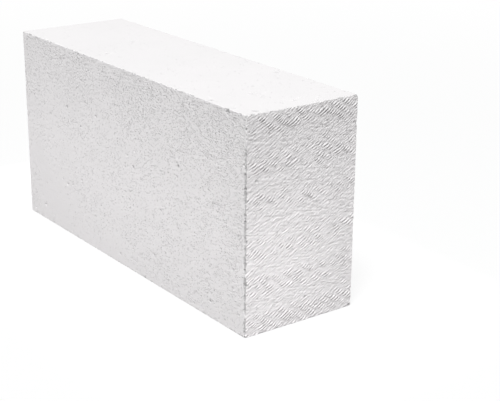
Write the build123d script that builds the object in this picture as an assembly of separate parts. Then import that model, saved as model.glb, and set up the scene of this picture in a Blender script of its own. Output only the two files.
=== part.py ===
from build123d import *
import math
import os

# Aerated concrete wall block, sawn from one cake and standing on its bed face.
# Origin at the middle of the bottom bed. +X runs along the length to the near end, +Y through the
# thickness from the front face to the back face, +Z up to the top bed. Millimetres.

# Block, a common coordinating size for a partition
block_length = 500.0
block_thickness = 150.0
block_height = 250.0

# The soft arrises lose their sharpness when the block is sawn, stacked and carried
arris_radius = 1.2

# Knocked corners: how far each break runs from the corner along the length, thickness and height.
# The dish is the half width of the ball that such a break is a piece of: a larger one is flatter.
near_back_top_knock = (3.0, 8.0, 3.0)
near_back_bottom_knock = (1.6, 1.8, 1.6)
far_front_bottom_knock = (2.0, 2.0, 2.0)
near_front_top_knock = (3.0, 3.6, 2.4)
near_front_bottom_knock = (4.0, 2.4, 3.0)
corner_dish = 9.0

# Chips along the arrises: place, length along the arris, reach onto one face, reach onto the other
near_x = block_length / 2
far_x = -block_length / 2
front_y = -block_thickness / 2
back_y = block_thickness / 2
top_z = block_height

# Near upright arris: height, length, reach on the front face, reach on the near end
near_upright_chips = [
    (top_z - 43.0, 7.0, 3.6, 1.6),
    (top_z - 57.0, 9.0, 3.0, 1.6),
    (top_z - 86.0, 11.0, 5.0, 2.0),
    (111.0, 5.0, 2.6, 2.6),
    (85.0, 12.0, 3.2, 1.8),
    (62.0, 7.0, 5.0, 1.8),
    (36.0, 14.0, 3.0, 1.6),
]
# Front top arris: place along the length, length, reach on the front face, reach on the top bed
front_top_chips = [
    (near_x - 13.0, 5.0, 2.2, 1.8),
    (near_x - 35.0, 7.0, 4.2, 1.6),
    (31.5, 5.0, 2.2, 1.0),
    (6.5, 5.0, 1.6, 1.1),
    (-116.0, 6.0, 1.5, 1.2),
    (far_x + 20.0, 8.0, 3.2, 1.6),
]
# Top arris of the near end: place across the thickness, length, reach on the near end, reach on the top bed
near_top_chips = [
    (front_y + 9.0, 7.0, 2.0, 3.4),
    (back_y - 24.0, 10.0, 2.0, 3.0),
]
# Back upright arris of the near end: height, length, reach on the back face, reach on the near end
back_upright_chips = [
    (top_z - 32.0, 6.0, 1.8, 2.6),
]


def scoop(corner, reaches, half_chord):
    # The ball that cuts each inward direction at its reach, and is two half chords wide through the corner
    centre = Vector(corner)
    for direction, reach in reaches:
        centre -= Vector(direction) * ((half_chord**2 - reach**2) / (2 * reach))
    radius = math.hypot((centre - Vector(corner)).length, half_chord)
    return Pos(*centre) * Sphere(radius)


def knocked_corner(x, y, z, knock):
    # A break across the corner, inwards along the length, the thickness and the height
    along_x, along_y, along_z = knock
    inwards = [
        ((-math.copysign(1, x), 0, 0), along_x),
        ((0, -math.copysign(1, y), 0), along_y),
        ((0, 0, -1 if z == top_z else 1), along_z),
    ]
    return scoop((x, y, z), inwards, corner_dish)


def arris_damage():
    # Every scoop that the block has lost along its arrises and at its corners
    lengthwise = (-1, 0, 0)
    to_back = (0, 1, 0)
    to_front = (0, -1, 0)
    down = (0, 0, -1)
    scoops = [
        knocked_corner(near_x, back_y, top_z, near_back_top_knock),
        knocked_corner(near_x, back_y, 0, near_back_bottom_knock),
        knocked_corner(far_x, front_y, 0, far_front_bottom_knock),
        knocked_corner(near_x, front_y, top_z, near_front_top_knock),
        knocked_corner(near_x, front_y, 0, near_front_bottom_knock),
    ]
    for z, length, on_front, on_end in near_upright_chips:
        scoops.append(scoop((near_x, front_y, z), [(lengthwise, on_front), (to_back, on_end)], length / 2))
    for x, length, on_front, on_top in front_top_chips:
        scoops.append(scoop((x, front_y, top_z), [(down, on_front), (to_back, on_top)], length / 2))
    for y, length, on_end, on_top in near_top_chips:
        scoops.append(scoop((near_x, y, top_z), [(down, on_end), (lengthwise, on_top)], length / 2))
    for z, length, on_back, on_end in back_upright_chips:
        scoops.append(scoop((near_x, back_y, z), [(lengthwise, on_back), (to_front, on_end)], length / 2))
    return scoops


def aerated_block():
    # The sawn block with eased arrises, less its chips and knocked corners
    block = Box(block_length, block_thickness, block_height, align=(Align.CENTER, Align.CENTER, Align.MIN))
    block = fillet(block.edges(), arris_radius)
    for lost in arris_damage():
        block -= lost
    return block


os.makedirs("parts", exist_ok=True)
export_step(aerated_block(), "parts/aerated_block.step")
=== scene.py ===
import math
import bpy
import numpy as np
from mathutils import Matrix, Vector


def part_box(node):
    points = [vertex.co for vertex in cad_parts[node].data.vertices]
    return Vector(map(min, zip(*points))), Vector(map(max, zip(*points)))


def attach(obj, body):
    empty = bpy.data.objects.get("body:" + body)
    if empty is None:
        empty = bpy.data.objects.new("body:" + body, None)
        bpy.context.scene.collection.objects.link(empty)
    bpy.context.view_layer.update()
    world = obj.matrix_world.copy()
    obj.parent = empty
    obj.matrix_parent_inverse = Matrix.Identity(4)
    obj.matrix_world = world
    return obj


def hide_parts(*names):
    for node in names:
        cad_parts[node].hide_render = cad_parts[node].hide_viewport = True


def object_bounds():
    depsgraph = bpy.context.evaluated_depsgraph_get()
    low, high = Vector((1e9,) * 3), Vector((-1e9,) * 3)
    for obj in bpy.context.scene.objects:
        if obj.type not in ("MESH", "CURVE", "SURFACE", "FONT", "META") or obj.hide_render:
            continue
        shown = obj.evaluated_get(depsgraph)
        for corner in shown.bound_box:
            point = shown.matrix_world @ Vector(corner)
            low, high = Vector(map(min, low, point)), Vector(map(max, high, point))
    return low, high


# An aerated concrete block standing on its bed. The frame is in metres; the block's own shapes are
# worked out in millimetres, from the middle of the block, and brought to metres when the mesh is made.
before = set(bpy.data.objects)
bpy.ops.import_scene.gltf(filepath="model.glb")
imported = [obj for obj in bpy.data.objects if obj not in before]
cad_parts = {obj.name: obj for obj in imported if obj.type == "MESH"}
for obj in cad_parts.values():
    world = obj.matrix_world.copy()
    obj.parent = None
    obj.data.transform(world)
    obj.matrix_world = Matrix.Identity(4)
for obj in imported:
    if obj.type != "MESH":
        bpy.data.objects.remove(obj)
cadLow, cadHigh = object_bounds()
mm = 0.001
print("frame loaded, block", [round(s / mm) for s in cadHigh - cadLow], "mm")


def hashUnit(ix, iy, iz, seed):
    # One repeatable number from 0 to 1 for each whole-numbered cell: its indices are mixed, its bits folded
    h = (ix * 374761393 + iy * 668265263 + iz * 1442695041 + seed * 1274126177) & 0xFFFFFFFF
    h = ((h ^ (h >> 13)) * 1274126177) & 0xFFFFFFFF
    return ((h ^ (h >> 16)) & 0xFFFFFF) / 0xFFFFFF


def cellNoise(points, cell, seed):
    # Smooth noise from 0 to 1: each point blends the numbers of the eight cell corners around it
    q = points / cell
    low = np.floor(q).astype(np.int64)
    t = q - low
    t = t * t * (3 - 2 * t)
    total = np.zeros(len(points))
    for corner in np.ndindex(2, 2, 2):
        weight = np.prod(np.where(np.array(corner) == 1, t, 1 - t), axis=1)
        total += weight * hashUnit(*(low + corner).T, seed)
    return total


def layeredNoise(points, cell, seed, layers):
    # Noise of halving cell size and strength, brought back to 0 to 1
    strengths = 0.5 ** np.arange(layers)
    total = sum(s * cellNoise(points, cell * s, seed + i) for i, s in enumerate(strengths))
    return total / strengths.sum()


def smoothStep(x, low, high):
    # 0 below low, 1 above high, an even S between them
    t = np.clip((x - low) / (high - low), 0, 1)
    return t * t * (3 - 2 * t)


# Camera: fitted to the block's seven visible corners
cameraView = dict(
    eye=(1.2474, -0.8085, 0.6000),
    look=(-0.7572, 0.5604, -0.3355),
    up=(-0.2746, 0.1930, 0.9420),
    lens=90.94,                         # mm, as is the sensor's width
    sensor=36.0,
)


def makeCamera(view):
    # The camera's own axes are its right, its up and the way back from the block
    back = -Vector(view["look"]).normalized()
    right = Vector(view["up"]).cross(back).normalized()
    data = bpy.data.cameras.new("camera")
    data.sensor_fit = "HORIZONTAL"
    data.sensor_width = view["sensor"]
    data.lens = view["lens"]
    camera = bpy.data.objects.new("camera", data)
    turn = Matrix((right, back.cross(right), back)).transposed().to_4x4()
    camera.matrix_world = Matrix.Translation(view["eye"]) @ turn
    bpy.context.scene.collection.objects.link(camera)
    bpy.context.scene.camera = camera
    print("camera placed")


# The block's skin, in millimetres
blockSkin = dict(
    spacing=(1.2, 1.3, 0.75),           # between grid lines along the length, thickness and height
    arrisSpacing=0.45,                  # the same close to an arris
    arrisWidth=5.0,                     # how far from an arris the lines stay close
    triangles=192000,                   # left after thinning
    arrisRadius=(0.5, 1.5),             # least and most rounding of the worn arrises
    arrisCell=7.0,                      # size of the patches of one rounding
    rough=0.7,                          # crumbly unevenness inside a chip
    roughCell=1.9,
    rimWidth=15.0,                      # how far from an arris the chips may reach
    cornerDish=9.0,                     # half width of the ball that a corner break is a piece of
    wornShadeLoss=(0.08, 0.45),              # loss at which an arris starts to take the broken grey with painted shade, and takes it fully
    crumbSeed=11,
    arrisSeed=3,
    roughSeed=7,
)

# Corner breaks: the corner's side along each axis, and how far the break runs along each
knockedCorners = [
    ((1, 1, 1), (3.0, 8.0, 3.0)),
    ((1, 1, -1), (1.6, 1.8, 1.6)),
    ((-1, -1, -1), (2.0, 2.0, 2.0)),
    ((1, -1, 1), (3.0, 3.6, 2.4)),
    ((1, -1, -1), (4.0, 2.4, 3.0)),
]

# Chips: the arris's side along each axis (0 along its run), the place on it, its length, and how far
# it reaches along the two other axes, in axis order
arrisChips = [
    ((1, -1, 0), 82.0, 7.0, (3.6, 1.6)),
    ((1, -1, 0), 68.0, 9.0, (3.0, 1.6)),
    ((1, -1, 0), 39.0, 11.0, (5.0, 2.0)),
    ((1, -1, 0), -14.0, 5.0, (2.6, 2.6)),
    ((1, -1, 0), -40.0, 12.0, (3.2, 1.8)),
    ((1, -1, 0), -63.0, 7.0, (5.0, 1.8)),
    ((1, -1, 0), -89.0, 14.0, (3.0, 1.6)),
    ((0, -1, 1), 237.0, 5.0, (1.8, 2.2)),
    ((0, -1, 1), 215.0, 7.0, (1.6, 4.2)),
    ((0, -1, 1), -230.0, 8.0, (1.6, 3.2)),
    ((0, -1, 1), 31.5, 5.0, (1.0, 2.2)),
    ((0, -1, 1), 6.5, 5.0, (1.1, 1.6)),
    ((0, -1, 1), -116.0, 6.0, (1.2, 1.5)),
    ((1, 0, 1), -66.0, 7.0, (3.4, 2.0)),
    ((1, 0, 1), 51.0, 10.0, (3.0, 2.0)),
    ((1, 1, 0), 93.0, 6.0, (1.8, 2.6)),
]

# Crumbs lost all along: every arris loses a few, and the near upright one is crumbled over most of its
# height. Spacing, length, and the reach along the two other axes, least and most
arrisCrumbs = dict(
    spacing=14.0,
    length=(1.6, 5.0),
    reach=((0.6, 1.9), (0.6, 1.9)),
)
crumbledArris = dict(
    side=(1, -1, 0),
    spacing=1.6,
    length=(3.0, 9.0),
    reach=((1.8, 4.4), (0.6, 1.2)),
    span=(-118.0, 88.0),                        # from the middle of its height
)

# Saw marks on the two ends: slanted strokes in groups, strongest in rows, with nicks along them and finer
# lines between the rows. Both ends were cut by parallel wires, so their marks lean the same way.
sawnEnds = dict(
    rows=(11, 53, 98, 150, 191, 236),           # below the top bed
    rowStrengths=(1.1, 1.0, 0.9, 0.95, 1.3, 1.8),
    rowSpread=9.0,
    rowWander=12.0,                             # how far a row strays up and down, and over what lengths
    rowCell=(34.0, 30.0),
    rowFloor=0.24,                              # strength of the strokes between the rows
    strokePitch=3.3,
    pitchDraw=(0.85, 0.3),                      # a group's pitch is this much of it, and up to so much more
    strengthDraw=(0.4, 0.6),                    # and so is its strength
    strokeAngle=30.0,                           # degrees, climbing to the right
    strokeSpread=16.0,                          # degrees by which the groups differ
    strokeDepth=2.9,
    groupAngle=-32.0,                           # degrees, the groups step down to the right
    groupCell=(14.0, 9.0),
    groupDraw=(0.25, 0.5),                      # where in its cell a group may lie
    groupHalf=(12.0, 5.2),                      # half length and half width of a group
    groupShare=0.9,                             # of the cells have one
    nickDepth=0.34,                             # short nicks along the strokes
    nickCell=(6.0, 1.4),
    lineDepth=0.56,                             # fine lines between the rows
    lineAngle=-10.0,
    lineCell=(8.0, 1.6),
    grooveShadeDepth=(0.10, 0.80),                   # from where painted shade starts in the grooves to where it is darkest
    crestLightHeight=(0.10, 0.70),                   # and from where a painted highlight starts on the crests to where it is palest
    flatShare=(0.2, 0.8),                       # share of the end's own facing, from no marks to full ones
    sink=0.85,                                  # the ends lie this far in, so the crests end at the cut
    sinkWidth=12.0,
    seed=40,
)

# Larger pits: axis and side of the face, the place on it along the two other axes, radius and depth
seenPits = [
    (1, -1, (23, 10), 2.2, 1.6),
    (1, -1, (121, 37), 2.0, 1.5),
    (1, -1, (-136, 48), 2.6, 1.2),
    (1, -1, (-12, -112), 1.8, 1.3),
    (1, -1, (183, -105), 2.0, 1.4),
    (1, -1, (83, -27), 1.7, 1.2),
    (1, -1, (227, -52), 1.8, 1.2),
    (1, -1, (216, 121.5), 2.6, 2.4),
    (1, -1, (67.5, 116), 1.6, 1.0),
    (1, -1, (98, 112), 1.6, 1.0),
    (1, -1, (42.5, 117.5), 1.5, 0.9),
    (1, -1, (131, 110.5), 1.5, 0.9),
    (1, -1, (109.5, 119), 1.5, 0.9),
    (1, -1, (20, 110.5), 1.4, 0.8),
    (1, -1, (44, 96.5), 1.4, 0.8),
    (0, 1, (38.5, 65), 1.6, 1.4),
    (0, 1, (7, -96.5), 1.7, 1.4),
    (0, 1, (71, 95), 1.6, 1.4),
    (0, 1, (62.5, 61.5), 1.5, 1.2),
    (0, 1, (72.4, -123), 1.7, 1.8),
    (2, 1, (-113, 11), 2.4, 1.5),
    (2, 1, (-74, -49), 2.6, 1.8),
    (2, 1, (119, 64), 2.4, 1.8),
    (2, 1, (179.5, -17.5), 2.3, 1.8),
    (2, 1, (191.5, -11), 1.7, 1.0),
    (2, 1, (228, 4), 2.0, 1.3),
    (2, 1, (238.5, -55.5), 3.4, 3.0),
    (2, 1, (177.5, -69), 2.9, 2.4),
    (2, 1, (115, -70), 1.9, 1.3),
    (2, 1, (217.5, -67.5), 1.8, 1.2),
    (2, 1, (241.5, 23.5), 1.7, 1.1),
]

# Scattered pits, smaller, at places of their own on every face
facePits = dict(
    cell=13.0,                          # one pit, or none, in each square of this size
    share=(0.15, 0.42, 0.06),           # squares with a pit, on the ends, the long faces and the beds
    radius=(0.9, 2.0),
    depth=(0.35, 1.1),
    edgeFade=(0.5, 3.0),                # distance from an arris, from no pits to full ones
    bowl=(0.75, 0.6),                   # power of a bowl's section, for scattered pits and for seen ones
    wornShadeDepth=(0.2, 1.2),               # depth at which a pit starts to take the broken grey with painted shade, and takes it fully
    seed=20,
)


def gradedLines(half, spacing, edgeSpacing, edgeWidth):
    # Places from -half to half that draw together at both ends: the lines per millimetre, summed along the
    # side, are cut into equal shares
    steps = 4000
    fine = np.linspace(-half, half, steps + 1)
    perMm = 1 / spacing + (1 / edgeSpacing - 1 / spacing) * np.exp(-((half - np.abs(fine)) / edgeWidth)**2)
    total = np.concatenate([[0], np.cumsum((perMm[1:] + perMm[:-1]) / 2 * np.diff(fine))])
    return np.interp(np.linspace(0, total[-1], round(total[-1]) + 1), total, fine)


def boxGrid(counts):
    # Grids of squares over the six sides of a lattice. A point on an arris has one number whichever side it
    # is reached from, so the skin is closed. Gives the lattice places and the squares, wound outwards.
    strides = np.array([(counts[1] + 1) * (counts[2] + 1), counts[2] + 1, 1])
    squares = []
    for axis in range(3):
        a, b = (axis + 1) % 3, (axis + 2) % 3
        i, j = np.meshgrid(np.arange(counts[a]), np.arange(counts[b]), indexing="ij")
        first = (i * strides[a] + j * strides[b]).ravel()
        ring = first[:, None] + np.array([0, strides[a], strides[a] + strides[b], strides[b]])
        squares.append(ring + counts[axis] * strides[axis])
        squares.append(ring[:, ::-1])
    numbers, squares = np.unique(np.concatenate(squares), return_inverse=True)
    places = np.stack(np.unravel_index(numbers, np.array(counts) + 1), axis=1)
    return places, squares.reshape(-1, 4)


def scoopBall(corner, inwards, reaches, halfChord):
    # The ball that cuts each inward direction at its reach and is two half chords wide through the corner,
    # with the way into the block between those directions
    offsets = (halfChord**2 - reaches**2) / (2 * reaches)
    centre = corner - (inwards * offsets[:, None]).sum(axis=0)
    into = inwards.sum(axis=0) / math.sqrt(len(inwards))
    return centre, math.hypot(np.linalg.norm(centre - corner), halfChord), into


def crumbsAlong(side, low, high, crumbs, rng):
    # Crumbs at random places along a stretch of one arris, in the form of the chips above
    count = int((high - low) / crumbs["spacing"])
    places = rng.uniform(low, high, count)
    lengths = rng.uniform(*crumbs["length"], count)
    reaches = np.stack([rng.uniform(*reach, count) for reach in crumbs["reach"]], axis=1)
    return list(zip([side] * count, places, lengths, reaches))


def lostBalls(half, rng):
    # Every ball that the arrises have lost: corner breaks, the chips listed above, and crumbs all along
    eye = np.eye(3)
    balls = []
    for side, reaches in knockedCorners:
        side = np.array(side)
        balls.append(scoopBall(half * side, -side * eye, np.array(reaches), blockSkin["cornerDish"]))
    chips = list(arrisChips)
    for run in range(3):
        for first, second in ((-1, -1), (-1, 1), (1, -1), (1, 1)):
            side = [first, second]
            side.insert(run, 0)
            chips += crumbsAlong(tuple(side), -half[run], half[run], arrisCrumbs, rng)
    chips += crumbsAlong(crumbledArris["side"], *crumbledArris["span"], crumbledArris, rng)
    for side, place, length, reaches in chips:
        run = side.index(0)
        side = np.array(side)
        corner = half * side + place * eye[run]
        across = np.delete(np.arange(3), run)
        inwards = -side[across, None] * eye[across]
        balls.append(scoopBall(corner, inwards, np.array(reaches, float), length / 2))
    return balls


def scoopOut(points, balls, wander):
    # A point inside a ball moves into the block, the way that the ball is given, to the ball's far side.
    # The ball's radius wanders by the given noise, so that the break is crumbly.
    margin = 1.0                                # more than the noise can add
    for centre, radius, into in balls:
        near = np.flatnonzero((np.abs(points - centre) < radius + margin).all(axis=1))
        offset = points[near] - centre
        along = offset @ into
        inside = (radius + wander[near])**2 - (offset**2).sum(axis=1)
        move = np.where(inside > 0, np.sqrt(np.maximum(inside + along**2, 0)) - along, 0)
        points[near] += move[:, None] * into
    return points


def drawnNoise(x, y, angle, cell, seed):
    # Noise from 0 to 1 drawn out along a slanted way: its cells are long that way and narrow across it
    turn = np.radians(angle)
    along = x * np.cos(turn) + y * np.sin(turn)
    aside = y * np.cos(turn) - x * np.sin(turn)
    return cellNoise(np.stack([along / cell[0], aside / cell[1], 0 * x], axis=1), 1.0, seed)


def drawnRipples(x, y, angle, cell, seed):
    # The same noise less itself one cell further across: ripples about 0, with no wider swell
    turn = np.radians(angle)
    further = drawnNoise(x - cell[1] * np.sin(turn), y + cell[1] * np.cos(turn), angle, cell, seed)
    return drawnNoise(x, y, angle, cell, seed) - further


def strokeGroups(x, y, seed):
    # Short parallel strokes, in groups. Each cell of a slanted lattice has one group, with its own place,
    # angle, pitch and strength: a cosine across its strokes, under a bell that ends within the next cell.
    saw = sawnEnds
    least, spread = saw["groupDraw"]
    leastPitch, pitchSpread = saw["pitchDraw"]
    leastStrength, strengthSpread = saw["strengthDraw"]
    slant = np.radians(saw["groupAngle"])
    (length, width), (halfLength, halfWidth) = saw["groupCell"], saw["groupHalf"]
    along = x * np.cos(slant) + y * np.sin(slant)
    aside = y * np.cos(slant) - x * np.sin(slant)
    iu, iv = np.floor(along / length).astype(np.int64), np.floor(aside / width).astype(np.int64)
    total = np.zeros(len(x))
    for du, dv in np.ndindex(3, 3):
        a, b = iu + du - 1, iv + dv - 1
        draw = [hashUnit(a, b, 0 * a + k, seed) for k in range(7)]
        p = (along - (a + least + spread * draw[0]) * length) / halfLength
        q = (aside - (b + least + spread * draw[1]) * width) / halfWidth
        bell = np.clip(1 - p**2 - q**2, 0, None)**2 * (draw[6] < saw["groupShare"])
        angle = np.radians(saw["strokeAngle"] + saw["strokeSpread"] * (draw[2] - 0.5))
        pitch = saw["strokePitch"] * (leastPitch + pitchSpread * draw[3])
        wave = np.cos(2 * np.pi * ((y * np.cos(angle) - x * np.sin(angle)) / pitch + draw[4]))
        total += 0.5 * bell * (leastStrength + strengthSpread * draw[5]) * wave
    return total


def sawMarks(across, down, seed):
    # Depth of the saw marks at places across an end and down from the top bed: groups of strokes, strong in
    # rows that stray up and down, with nicks along the strokes and fine lines between the rows
    x, y = across, -down
    saw = sawnEnds
    level = down + saw["rowWander"] * (drawnNoise(x, y, 0, saw["rowCell"], seed) - 0.5)
    rows = sum(s * np.exp(-0.5 * ((level - row) / saw["rowSpread"])**2)
               for row, s in zip(saw["rows"], saw["rowStrengths"]))
    strokes = np.maximum(rows, saw["rowFloor"]) * strokeGroups(x, y, seed + 1)
    nicks = drawnRipples(x, y, saw["strokeAngle"], saw["nickCell"], seed + 2)
    lines = drawnRipples(x, y, saw["lineAngle"], saw["lineCell"], seed + 3)
    return (saw["strokeDepth"] * strokes + saw["nickDepth"] * nicks
            + saw["lineDepth"] * np.clip(1 - rows, 0, 1) * lines)


def pitDepth(u, v, share, seed):
    # Depth of the scattered pits: each square of a lattice may hold one, at its own place, with its own
    # size; a point takes the deepest of the nine squares around it
    cell = facePits["cell"]
    iu, iv = np.floor(u / cell).astype(np.int64), np.floor(v / cell).astype(np.int64)
    deepest = np.zeros(len(u))
    for du, dv in np.ndindex(3, 3):
        a, b = iu + du - 1, iv + dv - 1
        draw = [hashUnit(a, b, 0 * a + k, seed) for k in range(5)]
        radius = facePits["radius"][0] + np.ptp(facePits["radius"]) * draw[2]**2
        depth = facePits["depth"][0] + np.ptp(facePits["depth"]) * draw[3]**2
        distance = np.hypot(u - (a + draw[0]) * cell, v - (b + draw[1]) * cell)
        bowl = np.clip(1 - (distance / radius)**2, 0, None)**facePits["bowl"][0]
        deepest = np.maximum(deepest, np.where(draw[4] < share, depth * bowl, 0))
    return deepest


def blockPoints(places, lines, half):
    # The skin's points: the lattice point, rounded at the arrises, scooped by chips, sunk along its own
    # normal by the pits and, on the ends, along the block by the saw marks. With each point comes how far it
    # belongs to the ends, long faces and beds, how broken it is (the mask for the broken grey with painted
    # shade in chips and pits), and how low and how high it lies in the saw marks (the masks for painted
    # shade in the grooves and a painted highlight on the crests), each from 0 to 1.
    rng = np.random.default_rng(blockSkin["crumbSeed"])
    sharp = np.stack([lines[a][places[:, a]] for a in range(3)], axis=1)
    edge = np.sort(half - np.abs(sharp), axis=1)[:, 1]       # distance to the nearest arris
    least, most = blockSkin["arrisRadius"]
    patchy = layeredNoise(sharp, blockSkin["arrisCell"], blockSkin["arrisSeed"], 2)
    radius = least + (most - least) * patchy**2
    core = np.clip(sharp, -half + radius[:, None], half - radius[:, None])
    normal = sharp - core
    normal /= np.linalg.norm(normal, axis=1)[:, None]
    points = core + normal * radius[:, None]
    rim = np.flatnonzero(edge < blockSkin["rimWidth"])
    whole = points[rim].copy()
    crumbly = layeredNoise(sharp[rim], blockSkin["roughCell"], blockSkin["roughSeed"], 2) - 0.5
    points[rim] = scoopOut(points[rim], lostBalls(half, rng), blockSkin["rough"] * crumbly)
    # how broken each point is: the mask that greys it with painted shade in the chips
    wornAndShaded = np.zeros(len(points))
    lost = np.linalg.norm(points[rim] - whole, axis=1)
    wornAndShaded[rim] = smoothStep(lost, *blockSkin["wornShadeLoss"])
    print("arrises rounded and chipped")
    sunk, sawn, grooveShadeMask, crestLightMask = np.zeros((4, len(points)))
    fade = smoothStep(edge, *facePits["edgeFade"])
    for axis in range(3):
        a, b = np.delete(np.arange(3), axis)
        for side in (-1, 1):
            face = np.flatnonzero(places[:, axis] == (len(lines[axis]) - 1 if side > 0 else 0))
            u, v = sharp[face, a], sharp[face, b]
            depth = pitDepth(u, v, facePits["share"][axis], facePits["seed"] + 2 * axis + side) * fade[face]
            for pitAxis, pitSide, place, pitRadius, pitDeep in seenPits:
                if (pitAxis, pitSide) == (axis, side):
                    bowl = np.clip(1 - (np.hypot(u - place[0], v - place[1]) / pitRadius)**2, 0, None)
                    depth = np.maximum(depth, pitDeep * bowl**facePits["bowl"][1])
            # pits count as broken too, so they take the broken grey with painted shade
            wornAndShaded[face] = np.maximum(wornAndShaded[face], smoothStep(depth, *facePits["wornShadeDepth"]))
            if axis == 0:
                saw = sawMarks(half[1] + u, half[2] - v, sawnEnds["seed"] + 10 * side)
                saw = np.maximum(saw, -sawnEnds["sink"])
                flat = smoothStep(np.abs(normal[face, 0]), *sawnEnds["flatShare"]) * (1 - wornAndShaded[face])
                # painted shade in the saw marks' grooves
                grooveShadeMask[face] = flat * smoothStep(saw, *sawnEnds["grooveShadeDepth"])
                # a painted highlight on the crests between the grooves
                crestLightMask[face] = flat * smoothStep(-saw, *sawnEnds["crestLightHeight"])
                sawn[face] = saw * flat
            sunk[face] = np.maximum(sunk[face], depth)
    print("pits and saw marks sunk, deepest pit", round(float(sunk.max()), 2), "mm")
    points -= normal * sunk[:, None]
    inwards = smoothStep(np.abs(sharp[:, 0]), half[0] - sawnEnds["sinkWidth"], half[0])
    points[:, 0] -= np.sign(sharp[:, 0]) * (sawn + sawnEnds["sink"] * inwards)
    return points, np.abs(normal), wornAndShaded, grooveShadeMask, crestLightMask


def meshOf(name, points, squares):
    # A mesh from whole arrays: its points, and the four corners of each face
    mesh = bpy.data.meshes.new(name)
    mesh.vertices.add(len(points))
    mesh.vertices.foreach_set("co", points.astype(np.float32).ravel())
    mesh.loops.add(squares.size)
    mesh.loops.foreach_set("vertex_index", squares.astype(np.int32).ravel())
    mesh.polygons.add(len(squares))
    mesh.polygons.foreach_set("loop_start", np.arange(0, squares.size, 4, dtype=np.int32))
    mesh.update(calc_edges=True)
    return mesh


def thinned(piece, triangles):
    # Collapses the edges that matter least to the shape, until about that many triangles are left
    thin = piece.modifiers.new("thin", "DECIMATE")
    thin.ratio = triangles / (2 * len(piece.data.polygons))
    thin.use_collapse_triangulate = True
    bpy.context.view_layer.update()
    mesh = bpy.data.meshes.new_from_object(piece.evaluated_get(bpy.context.evaluated_depsgraph_get()))
    piece.modifiers.remove(thin)
    dense = piece.data
    piece.data = mesh
    bpy.data.meshes.remove(dense)
    mesh.name = piece.name
    print("skin thinned to", len(mesh.polygons), "triangles")


def arraysOf(mesh):
    # A mesh's points, and the number of the point at each corner of its faces
    points = np.empty(len(mesh.vertices) * 3, np.float32)
    mesh.vertices.foreach_get("co", points)
    corners = np.empty(len(mesh.loops), np.int32)
    mesh.loops.foreach_get("vertex_index", corners)
    return points.reshape(-1, 3), corners


def faceByArea(mesh):
    # Each point faces the mean way of the faces around it, weighed by their areas, so that the large flat
    # faces stay flat right up to a pit or a chip
    points, corners = arraysOf(mesh)
    first, second, third = points[corners.reshape(-1, 3)].transpose(1, 0, 2)
    crossed = np.repeat(np.cross(second - first, third - first), 3, axis=0)
    facing = np.stack([np.bincount(corners, crossed[:, k], len(points)) for k in range(3)], axis=1)
    facing /= np.linalg.norm(facing, axis=1)[:, None]
    mesh.normals_split_custom_set_from_vertices(facing)


# Flat charts for the baked maps, in millimetres: axis and side of the face, the axes that run across and up
# its chart with their directions, and the chart's corner
bakeCharts = dict(
    sheet=(660.0, 824.0),
    faces=[
        (1, -1, 0, 1, 2, 1, (4, 4)),
        (1, 1, 0, -1, 2, 1, (4, 260)),
        (2, 1, 0, 1, 1, 1, (4, 516)),
        (2, -1, 0, 1, 1, -1, (4, 672)),
        (0, 1, 1, 1, 2, 1, (508, 4)),
        (0, -1, 1, -1, 2, 1, (508, 260)),
    ],
)


def chartMap(mesh, half, middle):
    # Each face of the mesh goes to the chart of the block's nearest side, laid flat as seen from outside
    points, corners = arraysOf(mesh)
    points = points / mm - middle
    centres = points[corners].reshape(-1, 3, 3).mean(axis=1)
    charts = bakeCharts["faces"]
    axis, side, across, acrossWay, up, upWay = (np.array([c[k] for c in charts]) for k in range(6))
    gaps = half[axis] - side * centres[:, axis]
    chart = np.repeat(np.argmin(gaps, axis=1), 3)
    rows = np.arange(len(corners))
    start = np.array([c[6] for c in charts], float)[chart]
    u = half[across[chart]] + acrossWay[chart] * points[corners][rows, across[chart]] + start[:, 0]
    v = half[up[chart]] + upWay[chart] * points[corners][rows, up[chart]] + start[:, 1]
    layer = mesh.uv_layers.new(name="OFBake")
    uv = np.stack([u, v], axis=1) / bakeCharts["sheet"]
    layer.uv.foreach_set("vector", uv.astype(np.float32).ravel())
    print("charts laid out")


def makeBlock(material):
    # The skin stands in for the solid: it is worked out, thinned, charted, shaded and tied to the frame
    low, high = (np.array(corner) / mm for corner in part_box("aerated_block"))
    half, middle = (high - low) / 2, (high + low) / 2
    lines = [gradedLines(h, s, blockSkin["arrisSpacing"], blockSkin["arrisWidth"])
             for h, s in zip(half, blockSkin["spacing"])]
    places, squares = boxGrid([len(line) - 1 for line in lines])
    print("skin grid", len(places), "points")
    points, side, wornAndShaded, grooveShadeMask, crestLightMask = blockPoints(places, lines, half)
    mesh = meshOf("aerated_block_skin", (points + middle) * mm, squares)
    sides = mesh.attributes.new("side", "FLOAT_VECTOR", "POINT")
    sides.data.foreach_set("vector", side.astype(np.float32).ravel())
    # the masks for the broken grey with painted shade in chips and pits, for painted shade in the saw marks'
    # grooves and for a painted highlight on their crests
    for name, mask in (("wornAndShaded", wornAndShaded), ("grooveShadeMask", grooveShadeMask), ("crestLightMask", crestLightMask)):
        mesh.attributes.new(name, "FLOAT", "POINT").data.foreach_set("value", mask.astype(np.float32))
    piece = bpy.data.objects.new("aerated_block_skin", mesh)
    bpy.context.scene.collection.objects.link(piece)
    thinned(piece, blockSkin["triangles"])
    chartMap(piece.data, half, middle)
    piece.data.shade_smooth()
    faceByArea(piece.data)
    piece.data.materials.append(material)
    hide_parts("aerated_block")
    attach(piece, "root")
    print("block made")


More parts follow.
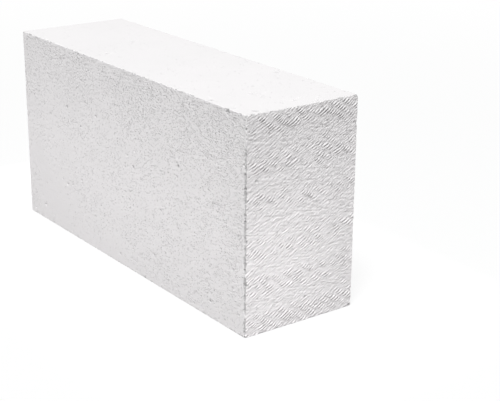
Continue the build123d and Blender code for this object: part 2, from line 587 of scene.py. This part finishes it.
# Dry aerated concrete: matt, pale, full of cut cells
concreteLook = dict(
    pale=(0.790, 0.767, 0.775, 1.0),
    dull=(0.775, 0.754, 0.761, 1.0),
    brokenAndShaded=(0.500, 0.489, 0.493, 1.0),  # inside chips and pits: the rougher broken face, darkened further with painted shade of the hollows
    roughness=0.95,
    specular=0.25,
    mottleSize=70 * mm,
    mottleRange=(0.35, 0.65),           # of the noise, from the pale grey to the dull one
    cells=[                             # the way between them, least and most radius as a part of it, depth
        (4.1 * mm, 0.14, 0.30, 0.55),
        (2.7 * mm, 0.22, 0.36, 0.75),
        (1.9 * mm, 0.30, 0.42, 1.00),
    ],
    cellFloor=0.4,                      # part of a cell's radius that is its flat bottom
    cellStretch=(1.6, 1.0, 0.85),       # the cells and the grain lie drawn out along the block
    cellPaintedShade=0.965,                    # painted shade at the bottom of a cell
    cellStrength=(0.66, 1.26),          # times their depth, where the concrete is closed and most open
    openAtFoot=0.14,                    # how open the cells are at the far foot of the block
    openAlong=0.45,                     # and how much more at the near end, and at the top
    openUp=0.60,
    openNoise=0.6,                      # how far that strays, and in patches of what size
    openSize=60 * mm,
    openLift=1.09,                      # paler between the cells where it is most open
    openOnBeds=0.03,                    # share of it that is left on the beds, and on the ends
    openOnEnds=0.12,
    grainSize=1.8 * mm,
    grainDepth=(0.13, 1.05),            # mm of bump, where the concrete is closed and most open
    nickSize=(7.0 * mm, 1.5 * mm),      # fine nicks on the sawn ends, length and width
    nickDepth=1.25,                     # mm of bump
    nickShadeRange=(0.55, 0.35),             # of the noise, from no painted shade to the darkest, at the bottom of a nick
    nickPaintedShade=0.89,                     # painted shade at the bottom of the nicks
    groovePaintedShade=0.66,                   # painted shade at the bottom of the saw marks
    crestPaintedLight=1.07,                    # painted highlight on the crests between them
)


def addNode(tree, kind, settings=None, **inputs):
    # A node with its settings and its unlinked values; a socket given as an input is linked
    node = tree.nodes.new(kind)
    for name, value in (settings or {}).items():
        setattr(node, name, value)
    for name, value in inputs.items():
        socket = node.inputs[int(name[1:])] if name[1:].isdigit() else node.inputs[name.replace("_", " ")]
        if isinstance(value, bpy.types.NodeSocket):
            tree.links.new(value, socket)
        else:
            socket.default_value = value
    return node


def multiplied(tree, first, *others):
    # The product of several values
    for other in others:
        first = addNode(tree, "ShaderNodeMath", dict(operation="MULTIPLY"), _0=first, _1=other).outputs[0]
    return first


def rescaled(tree, value, given, wanted=(0.0, 1.0)):
    # A value brought from the given range to the wanted one, and kept within it
    return addNode(tree, "ShaderNodeMapRange", Value=value, From_Min=given[0], From_Max=given[1],
                   To_Min=wanted[0], To_Max=wanted[1]).outputs["Result"]


def fadedBy(tree, mask, last):
    # 1 where the mask is 0, going to the last value where it is 1
    return rescaled(tree, mask, (0.0, 1.0), (1.0, last))


def mixed(tree, mask, first, second):
    # The first colour where the mask is 0, the second where it is 1
    return addNode(tree, "ShaderNodeMix", dict(data_type="RGBA"), _0=mask, _6=first, _7=second).outputs[2]


def openness(tree, where, side, look):
    # How open the cells are, from 0 to 1: it grows with the square of the way along the block and of the way
    # up it, strays in patches, and is less on the beds and the ends
    place = addNode(tree, "ShaderNodeSeparateXYZ", Vector=where)
    along = rescaled(tree, place.outputs["X"], (cadLow.x, cadHigh.x))
    up = rescaled(tree, place.outputs["Z"], (cadLow.z, cadHigh.z))
    patches = addNode(tree, "ShaderNodeTexNoise", Vector=where, Scale=1 / look["openSize"], Detail=2.0)
    foot, noise = look["openAtFoot"], look["openNoise"]
    stray = rescaled(tree, patches.outputs["Fac"], (0.0, 1.0), (foot - noise, foot + noise))
    nearer = multiplied(tree, along, along, look["openAlong"])
    higher = multiplied(tree, up, up, look["openUp"])
    total = addNode(tree, "ShaderNodeMath", dict(operation="ADD"), _0=nearer, _1=higher)
    total = addNode(tree, "ShaderNodeMath", dict(operation="ADD", use_clamp=True), _0=total.outputs[0],
                    _1=stray)
    return multiplied(tree, total.outputs[0], fadedBy(tree, side.outputs["Z"], look["openOnBeds"]),
                      fadedBy(tree, side.outputs["X"], look["openOnEnds"]))


def centred(tree, noise):
    # A noise about 0, so that a mask that fades it leaves no step
    shifted = addNode(tree, "ShaderNodeMath", dict(operation="SUBTRACT"), _0=noise.outputs["Fac"], _1=0.5)
    return shifted.outputs[0]


def cutCells(tree, where, spacing, least, most, floor, opened):
    # 1 in the middle of a cut cell, falling to 0 at its rim: round holes of many sizes, more of them where
    # the concrete is open
    cells = addNode(tree, "ShaderNodeTexVoronoi", Vector=where, Scale=1 / spacing)
    draw = addNode(tree, "ShaderNodeSeparateXYZ", Vector=cells.outputs["Color"])
    cut = addNode(tree, "ShaderNodeMath", dict(operation="LESS_THAN"), _0=draw.outputs["X"], _1=opened)
    size = rescaled(tree, draw.outputs["Y"], (0.0, 1.0), (least, most))
    rim = multiplied(tree, size, cut.outputs[0])
    hole = addNode(tree, "ShaderNodeMapRange", dict(interpolation_type="SMOOTHSTEP"),
                   Value=cells.outputs["Distance"], From_Min=rim, From_Max=multiplied(tree, rim, floor))
    return hole.outputs["Result"]


def aeratedConcrete(look):
    # The block's one material, placed by its own coordinates and by the masks that its mesh carries
    material = bpy.data.materials.new("aerated_concrete")
    material.use_nodes = True
    tree = material.node_tree
    shader = tree.nodes["Principled BSDF"]
    shader.inputs["Roughness"].default_value = look["roughness"]
    shader.inputs["Specular IOR Level"].default_value = look["specular"]
    where = addNode(tree, "ShaderNodeTexCoord").outputs["Object"]
    wornAndShaded, grooveShadeMask, crestLightMask = (addNode(tree, "ShaderNodeAttribute", dict(attribute_name=name)).outputs["Fac"]
                           for name in ("wornAndShaded", "grooveShadeMask", "crestLightMask"))
    sides = addNode(tree, "ShaderNodeAttribute", dict(attribute_name="side")).outputs["Vector"]
    side = addNode(tree, "ShaderNodeSeparateXYZ", Vector=sides)
    opened = openness(tree, where, side, look)
    strength = rescaled(tree, opened, (0.0, 1.0), look["cellStrength"])
    stretched = addNode(tree, "ShaderNodeMapping", dict(vector_type="TEXTURE"), Vector=where,
                        Scale=look["cellStretch"]).outputs[0]
    holes = [cutCells(tree, stretched, spacing, least, most, look["cellFloor"], opened)
             for spacing, least, most, _ in look["cells"]]
    cells = [multiplied(tree, hole, strength) for hole in holes]
    # fine nicks along the strokes, on the ends only
    length, width = look["nickSize"]
    drawn = addNode(tree, "ShaderNodeMapping", dict(vector_type="TEXTURE"), Vector=where,
                    Rotation=(math.radians(sawnEnds["strokeAngle"]), 0, 0), Scale=(length, length, width))
    nicks = addNode(tree, "ShaderNodeTexNoise", Vector=drawn.outputs[0], Scale=1.0, Detail=1.0)
    # the nicks' low parts, which take painted shade on the ends
    nickShadeMask = rescaled(tree, nicks.outputs["Fac"], look["nickShadeRange"])
    sawnNickShade = multiplied(tree, nickShadeMask, side.outputs["X"])
    # colour: two pale greys in soft patches; the broken grey with painted shade in chips and pits; painted
    # shade in the cells, the saw marks' grooves and the nicks; a painted highlight on the crests between the
    # grooves;
    # and paler between the cells where it is most open
    mottle = addNode(tree, "ShaderNodeTexNoise", Vector=where, Scale=1 / look["mottleSize"], Detail=4.0)
    patch = rescaled(tree, mottle.outputs["Fac"], look["mottleRange"])
    sound = mixed(tree, patch, look["pale"], look["dull"])
    colour = mixed(tree, wornAndShaded, sound, look["brokenAndShaded"])
    shades = [fadedBy(tree, grooveShadeMask, look["groovePaintedShade"]), fadedBy(tree, crestLightMask, look["crestPaintedLight"]),
              fadedBy(tree, sawnNickShade, look["nickPaintedShade"]), fadedBy(tree, opened, look["openLift"])]
    # painted shade at the bottom of each cell
    shades += [fadedBy(tree, cell, look["cellPaintedShade"]) for cell in cells]
    shade = multiplied(tree, *shades)
    shaded = addNode(tree, "ShaderNodeVectorMath", dict(operation="SCALE"), _0=colour, Scale=shade)
    tree.links.new(shaded.outputs[0], shader.inputs["Base Color"])
    # relief, in millimetres: grain all over, less the cells, with the nicks on the ends
    grain = addNode(tree, "ShaderNodeTexNoise", Vector=stretched, Scale=1 / look["grainSize"], Detail=3.0)
    deep = rescaled(tree, opened, (0.0, 1.0), look["grainDepth"])
    layers = [(multiplied(tree, centred(tree, nicks), side.outputs["X"]), look["nickDepth"])]
    layers += [(cell, -depth) for cell, (_, _, _, depth) in zip(cells, look["cells"])]
    relief = multiplied(tree, centred(tree, grain), deep)
    for pattern, depth in layers:
        relief = addNode(tree, "ShaderNodeMath", dict(operation="MULTIPLY_ADD"), _0=pattern, _1=depth,
                         _2=relief).outputs[0]
    bump = addNode(tree, "ShaderNodeBump", Height=relief, Distance=mm)
    tree.links.new(bump.outputs["Normal"], shader.inputs["Normal"])
    print("concrete mixed")
    return material


# White studio: a soft key high on the camera's side, an even sky, a white floor and low cards that send
# light back at the four sides. A card has the side that it faces, how far it is slid along it, its height,
# length and power.
studio = dict(
    keyFrom=(0.328, -0.362, 0.872),
    keyDistance=12.0,
    keySize=4.8,
    keyPower=1345.0,
    keyColour=(0.980, 1.0, 0.994),
    sky=0.40,                                   # as it lights the block; the camera sees it white
    cardColour=(1.0, 0.975, 0.982),
    cards=[
        ((1, 0), -0.045, 0.075, 0.08, 0.125),
        ((0, -1), 0.0, 0.105, 0.73, 0.170),
        ((-1, 0), 0.0, 0.075, 0.08, 0.16),
        ((0, 1), 0.0, 0.105, 0.73, 0.35),
    ],
    cardGap=0.20,
    cardWidth=0.06,
    floorColour=(0.40, 0.40, 0.40, 1.0),        # as it lights the block
    floorSeen=(0.80, 0.80, 0.80, 1.0),          # as the camera sees it, white where the key falls on it
    floorSize=12.0,
    floorLift=0.80,                             # share of its shadow that is lifted to white for the eye
    whiteFrom=0.6,                              # distance at which it starts to turn all white, and is so
    whiteFull=2.0,
)


def seenMask(tree):
    # 1 for rays from the camera, or seen in a reflection or through glass; 0 for the light that they gather
    rays = addNode(tree, "ShaderNodeLightPath")
    mirrored = addNode(tree, "ShaderNodeMath", dict(operation="MAXIMUM"), _0=rays.outputs["Is Glossy Ray"],
                       _1=rays.outputs["Is Transmission Ray"])
    return addNode(tree, "ShaderNodeMath", dict(operation="MAXIMUM"), _0=rays.outputs["Is Camera Ray"],
                   _1=mirrored.outputs[0]).outputs[0]


def addLamp(name, place, away, power, **shape):
    # An area lamp at a place, shining the opposite way to away, and never seen itself
    data = bpy.data.lights.new(name, "AREA")
    data.energy = power
    for key, value in shape.items():
        setattr(data, key, value)
    lamp = bpy.data.objects.new(name, data)
    lamp.location = place
    lamp.rotation_euler = away.to_track_quat("Z", "Y").to_euler()
    lamp.visible_camera = False
    bpy.context.scene.collection.objects.link(lamp)


def makeLamps():
    # The key, and a card before each side
    middle = (cadLow + cadHigh) / 2
    away = Vector(studio["keyFrom"]).normalized()
    addLamp("key", middle + away * studio["keyDistance"], away, studio["keyPower"], shape="DISK",
            size=studio["keySize"], color=studio["keyColour"])
    half = (cadHigh - cadLow) / 2
    for (x, y), slide, height, length, power in studio["cards"]:
        place = Vector((x * (half.x + studio["cardGap"]) + abs(y) * slide,
                        y * (half.y + studio["cardGap"]) + abs(x) * slide, cadLow.z + height))
        addLamp("card", place, Vector((x, y, 0)), power, shape="RECTANGLE", size=length,
                size_y=studio["cardWidth"], color=studio["cardColour"])


def makeSky():
    # An even white sky, dimmer for the light that it sends
    world = bpy.data.worlds.new("studio")
    bpy.context.scene.world = world
    world.use_nodes = True
    tree = world.node_tree
    level = rescaled(tree, seenMask(tree), (0.0, 1.0), (studio["sky"], 1.0))
    tree.nodes["Background"].inputs["Color"].default_value = (1, 1, 1, 1)
    tree.links.new(level, tree.nodes["Background"].inputs["Strength"])


def makeFloor():
    # A matt floor: grey as it lights the block, near white to the eye, with a faint shadow by the block
    material = bpy.data.materials.new("white_floor")
    material.use_nodes = True
    tree = material.node_tree
    seen = seenMask(tree)
    plain = tree.nodes["Principled BSDF"]
    paint = mixed(tree, seen, studio["floorColour"], studio["floorSeen"])
    tree.links.new(paint, plain.inputs["Base Color"])
    plain.inputs["Roughness"].default_value = 1.0
    plain.inputs["Specular IOR Level"].default_value = 0.0
    where = addNode(tree, "ShaderNodeTexCoord").outputs["Object"]
    distance = addNode(tree, "ShaderNodeVectorMath", dict(operation="LENGTH"), _0=where)
    lift = addNode(tree, "ShaderNodeMapRange", dict(interpolation_type="SMOOTHSTEP"),
                   Value=distance.outputs[1], From_Min=studio["whiteFrom"], From_Max=studio["whiteFull"],
                   To_Min=studio["floorLift"], To_Max=1.0)
    share = multiplied(tree, seen, lift.outputs["Result"])
    white = addNode(tree, "ShaderNodeEmission", Color=(1, 1, 1, 1), Strength=1.0)
    mix = addNode(tree, "ShaderNodeMixShader", _0=share, _1=plain.outputs[0], _2=white.outputs[0])
    tree.links.new(mix.outputs[0], tree.nodes["Material Output"].inputs["Surface"])
    reach = studio["floorSize"] / 2
    ring = np.array([[-reach, -reach], [reach, -reach], [reach, reach], [-reach, reach]])
    mesh = meshOf("floor", np.column_stack([ring, np.full(4, cadLow.z)]), np.arange(4)[None])
    mesh.materials.append(material)
    floor = bpy.data.objects.new("floor", mesh)
    bpy.context.scene.collection.objects.link(floor)


def makeStudio():
    makeLamps()
    makeSky()
    makeFloor()
    bpy.context.scene.view_settings.view_transform = "Standard"
    print("studio lit")


makeCamera(cameraView)
makeBlock(aeratedConcrete(concreteLook))
makeStudio()
